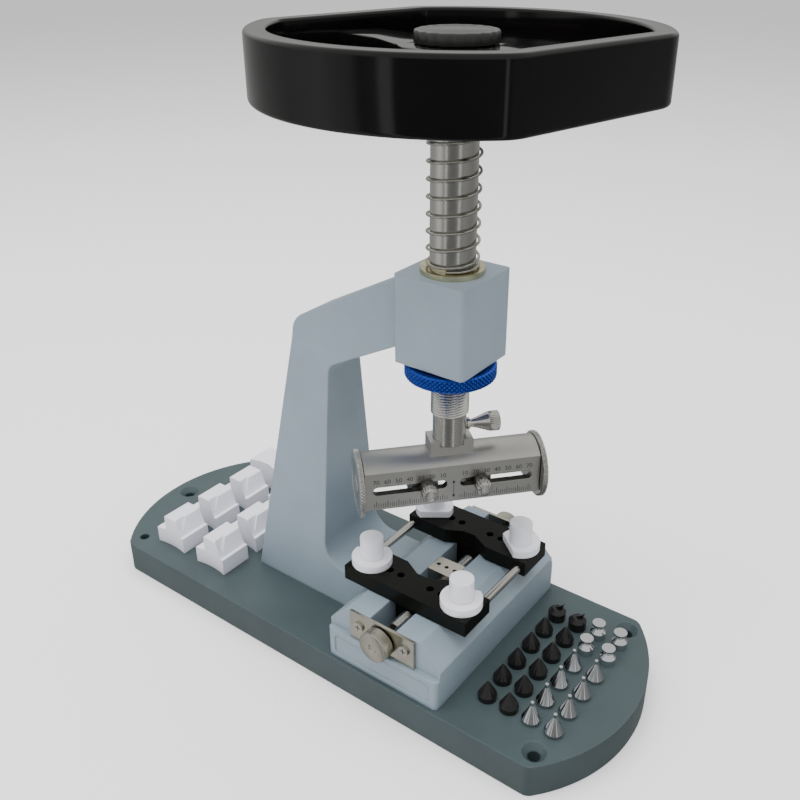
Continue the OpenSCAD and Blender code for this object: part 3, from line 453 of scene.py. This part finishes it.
section = rounded_section(rim_low, rim_top, rim, 1.7, 1.2)
wheel_verts, wheel_faces = [], []
loops = [wheel_line(inset) for inset, z in section]
count = len(loops[0])
for (inset, z), loop in zip(section, loops):
    wheel_verts += [(x, y, z) for x, y in loop]
for i in range(len(section)):
    j = (i + 1) % len(section)
    for k in range(count):
        m = (k + 1) % count
        wheel_faces.append((i * count + k, i * count + m, j * count + m, j * count + k))

bar_top, bar_deep, spoke_half, hub_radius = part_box("hub_cap")[0][2] / MM, 8.0, 10.0, 22.0
swell_from, swell_long = 14, 26


def bar_half_width(u):
    """Half the crossbar's width at a distance u from the hub's axis."""
    u = abs(u)
    if u < swell_from:
        return math.sqrt(hub_radius ** 2 - u ** 2)
    swell = math.sqrt(hub_radius ** 2 - swell_from ** 2) - spoke_half
    s = min(1.0, (u - swell_from) / swell_long)
    return spoke_half + swell * (1 - s) ** 2 * (1 + 1.2 * s)


reach = wheel_half - rim * 0.6
bar_steps = 80
stations = [-reach + 2 * reach * i / bar_steps for i in range(bar_steps + 1)]
edge_line = [(u, bar_half_width(u)) for u in stations] + [(u, -bar_half_width(u)) for u in reversed(stations)]
levels = [(1.0, bar_top - bar_deep), (0.0, bar_top - bar_deep + 1.0), (0.0, bar_top - 1.2),
          (0.35, bar_top - 0.35), (1.2, bar_top)]
start = len(wheel_verts)
for inset, z in levels:
    for u, v in edge_line:
        wheel_verts.append((u, v - math.copysign(inset, v), z))
size = len(edge_line)
for level in range(len(levels) - 1):
    for k in range(size):
        m = (k + 1) % size
        a, b = start + level * size, start + (level + 1) * size
        wheel_faces.append((a + m, a + k, b + k, b + m))
half = len(stations)
for level, flip in ((0, False), (len(levels) - 1, True)):
    a = start + level * size
    for k in range(half - 1):
        quad = (a + k, a + k + 1, a + size - 2 - k, a + size - 1 - k)
        wheel_faces.append(quad if not flip else tuple(reversed(quad)))
boss_radius = 18
hub_verts, hub_faces = lathe([(0, wheel_low.z), (boss_radius - 0.8, wheel_low.z),
                              (boss_radius, wheel_low.z + 0.8), (boss_radius, bar_top - bar_deep + 1),
                              (0, bar_top - bar_deep + 1)])
start = len(wheel_verts)
wheel_verts += hub_verts
wheel_faces += [tuple(start + i for i in face) for face in hub_faces]
at_wheel = at_spindle @ Matrix.Rotation(wheel_turn, 4, "Z")
handwheel = place_mesh("handwheel_casting", moved(wheel_verts, at_wheel), wheel_faces, wheel_black, "rotor",
                       sharp=38)
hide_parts("handwheel")

# ---------------------------------------------------------------- hub cap
# A lobed cap nut, moulded black, that holds the hub on the spindle's threaded end.
# Its lobes are for the fingers.
cap_black = finish("cap_black", (0.014, 0.014, 0.013), 0.3, mottle=0.15, edge=0.3, peel=0.006, lacquer=0.2)
cap_low, cap_high = (Vector(v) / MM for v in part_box("hub_cap"))
cap_radius = (cap_high.x - cap_low.x) / 2
lobes, lobe_depth = 18, 0.5


def lobe_cut(angle, row, z):
    """The hollows between the cap's lobes."""
    return lobe_depth * (0.5 - 0.5 * math.cos(lobes * angle)) ** 2 if row > 0 else 0.0


verts, faces = lathe([(0, cap_low.z), (cap_radius - 0.6, cap_low.z), (cap_radius, cap_low.z + 0.6),
                      (cap_radius, cap_high.z - 1.0), (cap_radius - 0.35, cap_high.z - 0.3),
                      (cap_radius - 1.1, cap_high.z), (cap_radius - 2.6, cap_high.z),
                      (cap_radius - 3.1, cap_high.z - 0.25), (0, cap_high.z - 0.25)], 216, lobe_cut)
cap = place_mesh("cap_nut", moved(verts, at_wheel), faces, cap_black, "rotor")
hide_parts("hub_cap")

# ---------------------------------------------------------------- stop ring
# A blue anodised aluminium ring with a diamond knurl, threaded on the spindle.
# It stops the spindle against the head block.
# shade is painted into the ring's knurl valleys and a highlight onto its points
ring_blue = finish("ring_blue", (0.020, 0.066, 0.40), 0.26, metallic=0.85, mottle=0.12, patch=90, edge=0.04,
                   knurl_light_and_shade=0.75)
ring_radius = (ring_high.x - ring_low.x) / 2
ring_rows, ring_lip = 18, 0.6
knurl_from = ring_low.z + ring_lip
knurl_long = ring_high.z - ring_low.z - 2 * ring_lip


def diamond(count, pitch, depth, first, last):
    """Two crossing sets of grooves, as a knurling tool leaves them."""
    def cut(angle, row, z):
        if row < first or row > last:
            return 0.0
        along = count * angle / (2 * math.pi)
        return depth * max(ridge(along + z / pitch), ridge(along - z / pitch))
    return cut


outline = [(0, ring_low.z), (ring_radius - 3.2, ring_low.z), (ring_radius - 1.1, ring_low.z + 0.15)]
outline += [(ring_radius, knurl_from + knurl_long * i / ring_rows) for i in range(ring_rows + 1)]
outline += [(ring_radius - 1.1, ring_high.z - 0.15), (ring_radius - 3.2, ring_high.z), (0, ring_high.z)]
verts, faces = lathe(outline, 480, diamond(60, 2.0, 0.7, 3, 3 + ring_rows))
ring = place_mesh("knurled_stop_ring", moved(verts, at_spindle), faces, ring_blue, "ring", sharp=15)
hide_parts("stop_ring")

# ---------------------------------------------------------------- graduated bar
# The bar is milled from round steel: a flat face with two slots and an engraved scale,
# a saddle for the spindle's nose, and a screw with opposite-hand halves inside.
bar_steel = finish("bar_steel", (0.55, 0.545, 0.525), 0.40, metallic=1.0, mottle=0.05, grain=420.0,
                   stretch=(1, 1, 1), peel=0.004, edge=0.35)
dress(bar_steel, "head_bar")
dress(turned_steel, "bar_screw")
bar_turn = math.radians(48.2)
bar_axis_z, bar_flat, groove_depth, ink_proud = 102.5, 10.0, 0.15, 0.012
at_bar = Matrix.Translation((axis_x, 0, bar_axis_z)) @ Matrix.Rotation(bar_turn, 4, "Z")
face_up = at_bar @ Matrix.Rotation(math.radians(90), 4, "X")
ink = finish("scale_ink", (0.02, 0.02, 0.02), 0.6, mottle=0.1, edge=0.02, peel=0.002)
ink_verts, ink_faces = [], []


def stroke(corners):
    """A filled groove: a thin closed slab on the bar's face from corners in (along, up)."""
    first = len(ink_verts)
    for depth in (-groove_depth, ink_proud):
        ink_verts.extend((x, y, bar_flat + depth) for x, y in corners)
    n = len(corners)
    ink_faces.append(tuple(first + i for i in reversed(range(n))))
    ink_faces.append(tuple(first + n + i for i in range(n)))
    for i in range(n):
        j = (i + 1) % n
        ink_faces.append((first + i, first + j, first + n + j, first + n + i))


def line(x, low, high, width):
    """An upright line on the bar's face."""
    stroke([(x - width / 2, low), (x + width / 2, low), (x + width / 2, high), (x - width / 2, high)])


thin, thick, scale_foot = 0.2, 0.26, -7.5
for side in (-1, 1):
    for tick in range(3, 37):
        if tick % 5 == 0:
            line(side * tick, scale_foot, -4.3, thick)
            line(side * tick, 3.3, 4.1, thin)
        else:
            line(side * tick, scale_foot, -5.4, thin)
line(0, -5.6, 1.4, thick)
arrow_half, arrow_long = 0.75, 1.6
for up, tip in ((1, 2.6), (-1, -6.8)):
    stroke([(-arrow_half, tip - up * arrow_long), (arrow_half, tip - up * arrow_long), (0, tip)][::up])
digit_size, digit_foot = 3.0, 4.6
for number in range(10, 80, 10):
    for side in (-1, 1):
        letters = bpy.data.curves.new("number", "FONT")
        letters.body = str(number)
        letters.size = digit_size
        letters.align_x = "CENTER"
        letters.resolution_u = 3
        text = bpy.data.objects.new("number", letters)
        flat = text.to_mesh()
        for polygon in flat.polygons:
            places = [flat.vertices[i].co for i in polygon.vertices]
            corners = [(place.x + side * number / 2, place.y + digit_foot) for place in places]
            stroke(corners if polygon.normal.z > 0 else corners[::-1])
        text.to_mesh_clear()
        bpy.data.objects.remove(text)
place_mesh("bar_scale_marks", moved(ink_verts, face_up), ink_faces, ink, "rotor", sharp=30)

# ---------------------------------------------------------------- end discs
# Two turned steel discs on the ends of the bar's screw, their rims diamond knurled.
# Turning either one moves both pin carriers.
disc_radius, disc_in, disc_thick, disc_rows = 15.5, 40.3, 2.5, 8


def on_axis(matrix, axis):
    """A matrix that lays a turned piece's axis along another direction of the same place."""
    return matrix @ Vector(axis).to_track_quat("Z", "Y").to_matrix().to_4x4()


disc_out, disc_lip, recess, recess_outer, recess_inner = disc_in + disc_thick, 0.3, 0.25, 11.3, 4.4
disc_line = [(0, disc_in), (disc_radius - 1.0, disc_in), (disc_radius - 0.6, disc_in + 0.15)]
disc_line += [(disc_radius, disc_in + disc_lip + (disc_thick - 2 * disc_lip) * i / disc_rows)
              for i in range(disc_rows + 1)]
disc_line += [(disc_radius - 0.6, disc_out - 0.15), (disc_radius - 1.0, disc_out),
              (recess_outer + 0.3, disc_out), (recess_outer, disc_out - recess),
              (recess_inner, disc_out - recess), (recess_inner - 0.3, disc_out), (0, disc_out)]
disc_verts, disc_faces = lathe(disc_line, 480, diamond(64, 1.5, 0.5, 3, 3 + disc_rows))
for side, label in ((-1, "left"), (1, "right")):
    disc = place_mesh("knurled_disc_" + label, moved(disc_verts, on_axis(at_bar, (side, 0, 0))), disc_faces,
                      knurled_steel, "bar_drive", sharp=15)
    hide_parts("end_disc_" + label)

# ---------------------------------------------------------------- pin carriers and their clamp screws
# Each carrier slides in the bar and ends below it in a socket for one bit.
# A pale fluted screw through the slot clamps it, with a dark collar against the bar's face.
carrier_steel = finish("carrier_steel", (0.15, 0.147, 0.14), 0.3, metallic=1.0, edge=0.2)
dress(carrier_steel, "carrier_left", "carrier_right")
clamp_x, clamp_up, shank_in, collar_in, collar_out, clamp_end = 12.3, 0.8, 2.9, 10.3, 13.5, 18.5
shank_radius, collar_radius, grip_radius = 1.9, 3.5, 3.7


def flutes(count, depth, first, last):
    """Round grooves along a turned head, for the fingers."""
    def cut(angle, row, z):
        return depth * (0.5 + 0.5 * math.cos(count * angle)) ** 2 if first <= row <= last else 0.0
    return cut


for side, label in ((-1, "left"), (1, "right")):
    at_clamp = on_axis(at_bar @ Matrix.Translation((side * clamp_x, 0, clamp_up)), (0, -1, 0))
    verts, faces = lathe([(0, shank_in), (shank_radius, shank_in), (shank_radius, collar_in - 0.4),
                          (collar_radius - 0.4, collar_in), (collar_radius, collar_in + 0.4),
                          (collar_radius, collar_out - 0.5), (collar_radius - 0.3, collar_out),
                          (0, collar_out)], 48)
    place_mesh("clamp_collar_" + label, moved(verts, at_clamp), faces, carrier_steel, "clamp_" + label[0])
    verts, faces = lathe([(0, collar_out - 0.2), (grip_radius - 1.1, collar_out - 0.2),
                          (grip_radius - 0.7, collar_out + 0.3), (grip_radius, collar_out + 0.9),
                          (grip_radius + 0.05, clamp_end - 1.3), (grip_radius - 0.2, clamp_end - 0.6),
                          (grip_radius - 1.0, clamp_end - 0.12), (grip_radius - 2.5, clamp_end),
                          (0, clamp_end)], 112, flutes(14, 0.35, 3, 5))
    knob = place_mesh("clamp_knob_" + label, moved(verts, at_clamp), faces, turned_steel, "clamp_" + label[0])
    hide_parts("clamp_screw_" + label)

# ---------------------------------------------------------------- side thumbscrew
# A turned screw in the spindle's nose: a short collar, a flared neck and a knurled head.
# It clamps the shank of the graduated bar.
thumb_z = spindle_low.z + 7.65
at_thumb = on_axis(Matrix.Translation((axis_x, 0, thumb_z)) @ Matrix.Rotation(bar_turn, 4, "Z"), (1, 0, 0))
# from the tip outwards: shank, collar, flared neck and a groove before the knurled head
outline = [(0, 5), (2.0, 5), (2.0, 7.6), (2.7, 7.8), (2.7, 9.0), (2.0, 9.2), (1.9, 10.2), (2.5, 12.4),
           (3.3, 14.6), (4.1, 16.8), (4.3, 17.2), (4.3, 17.6), (3.9, 17.7)]
knurl_start = len(outline)
outline += [(4.2, 17.9), (4.6, 18.2), (4.6, 20.2), (4.6, 22.2), (4.25, 22.5), (3.6, 22.5), (3.3, 22.3),
            (0, 22.3)]
verts, faces = lathe(outline, 120, flutes(30, 0.38, knurl_start + 1, knurl_start + 3))
thumbscrew = place_mesh("knurled_thumbscrew", moved(verts, at_thumb), faces, turned_steel, "side_clamp")
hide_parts("side_thumbscrew")

# ---------------------------------------------------------------- jaws and guide rods
# Black anodised aluminium jaws slide on the bed. Their rods keep them parallel,
# and the holes take pins for odd cases.
jaw_black = finish("jaw_black", (0.0045, 0.0052, 0.0038), 0.32, shine=0.13, mottle=0.15, edge=0.35,
                   peel=0.006)
dress(jaw_black, "jaw_front", "jaw_rear")
guide_steel = finish("guide_steel", (0.50, 0.49, 0.46), 0.2, metallic=1.0, mottle=0.05, grain=300.0,
                     stretch=(1, 12, 1), peel=0.003, edge=0.15)
dress(guide_steel, "guide_rod_left", "guide_rod_right")

# ---------------------------------------------------------------- lead screw
# One steel screw across the bed with a right-hand and a left-hand half.
# It moves both jaws by the same amount.
screw_low, screw_high = (Vector(v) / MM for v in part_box("lead_screw"))
screw_radius, screw_pitch, screw_depth, screw_rows = 3.0, 1.0, 0.4, 5
screw_z = (screw_low.z + screw_high.z) / 2
half_length = screw_high.y
threaded, plain_middle = 42.0, 6
rows = int(2 * threaded / screw_pitch * screw_rows)
chamfer = 0.3
outline = [(0, -half_length), (screw_radius - chamfer, -half_length), (screw_radius, -half_length + chamfer),
           (screw_radius, -threaded - 0.3)]
first_row = len(outline)
outline += [(screw_radius, -threaded + i * screw_pitch / screw_rows) for i in range(rows + 1)]
last_row = len(outline) - 1
outline += [(screw_radius, threaded + 0.3), (screw_radius, half_length - chamfer),
            (screw_radius - chamfer, half_length), (0, half_length)]


def both_hands(angle, row, z):
    """A right-hand groove on one half of the screw and a left-hand groove on the other."""
    if row < first_row or row > last_row or abs(z) < plain_middle:
        return 0.0
    return screw_depth * ridge(abs(z) / screw_pitch - angle / (2 * math.pi))


verts, faces = lathe(outline, 32, both_hands)
at_screw = on_axis(Matrix.Translation((axis_x, 0, screw_z)), (0, 1, 0))
lead_screw = place_mesh("opposite_hand_screw", moved(verts, at_screw), faces, turned_steel, "vise_drive",
                        sharp=40)
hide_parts("lead_screw")

# ---------------------------------------------------------------- vise knobs, bearing plates and centre block
# Nickel-plated steel: straight-knurled knobs pinned on the screw's ends, a plate on each end
# of the bed with two cross-head screws, and the block that holds the screw's middle.
nickel = finish("nickel", (0.52, 0.505, 0.43), 0.22, metallic=1.0, mottle=0.10, patch=70, edge=0.25,
                peel=0.004)
dress(nickel, "bearing_plate_front", "bearing_plate_rear", "centre_block")
plate_screw_steel = finish("plate_screw_steel", (0.55, 0.54, 0.50), 0.18, metallic=1.0, mottle=0.05,
                           edge=0.12)
dress(plate_screw_steel, "plate_screws_front", "plate_screws_rear")
knob_radius, knob_long = 7.5, 6.2
for side, label in ((-1, "front"), (1, "rear")):
    low, high = (Vector(v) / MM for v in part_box("knob_" + label))
    inner = low.y if side > 0 else -high.y
    outer = inner + knob_long
    verts, faces = lathe([(0, inner), (6.9, inner), (knob_radius, inner + 0.6), (knob_radius, inner + 3),
                          (knob_radius, outer - 0.7), (knob_radius - 0.25, outer - 0.25),
                          (knob_radius - 0.8, outer), (2.1, outer), (1.7, outer - 0.5), (0, outer - 0.7)],
                         240, flutes(60, 0.3, 2, 4))
    at_knob = on_axis(Matrix.Translation((axis_x, 0, screw_z)), (0, side, 0))
    knob = place_mesh("vise_knob_" + label, moved(verts, at_knob), faces, nickel, "vise_drive")
    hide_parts("knob_" + label)

# ---------------------------------------------------------------- nylon pegs and case supports
# White nylon, turned or milled, so that no case is scratched. The pegs turn in the jaws,
# and the supports stand loose on the base.
nylon = finish("nylon", (0.76, 0.76, 0.82), 0.36, mottle=0.02, grain=1400.0, peel=0.006, edge=0.7)
nylon_shader = nylon.node_tree.nodes["Principled BSDF"]
nylon_shader.inputs["Subsurface Weight"].default_value = 0.12
nylon_shader.inputs["Subsurface Radius"].default_value = (0.002, 0.002, 0.002)
dress(nylon, *[name for name in nodes if name.startswith("peg_") or "nylon" in name])

# ---------------------------------------------------------------- tool bits
# Turned steel bits standing in the base: blackened points and wedges,
# and chromed ones with pins or flat heads.
bit_black = finish("bit_black", (0.014, 0.013, 0.013), 0.2, metallic=0.3, mottle=0.2, edge=0.25, peel=0.006)
dress(bit_black, "black_cone_bits", "black_wedge_bits")
bit_chrome = finish("bit_chrome", (0.62, 0.63, 0.65), 0.08, metallic=1.0, mottle=0.02, edge=0.2, peel=0.002)
dress(bit_chrome, "chrome_pin_bits", "chrome_head_bits")
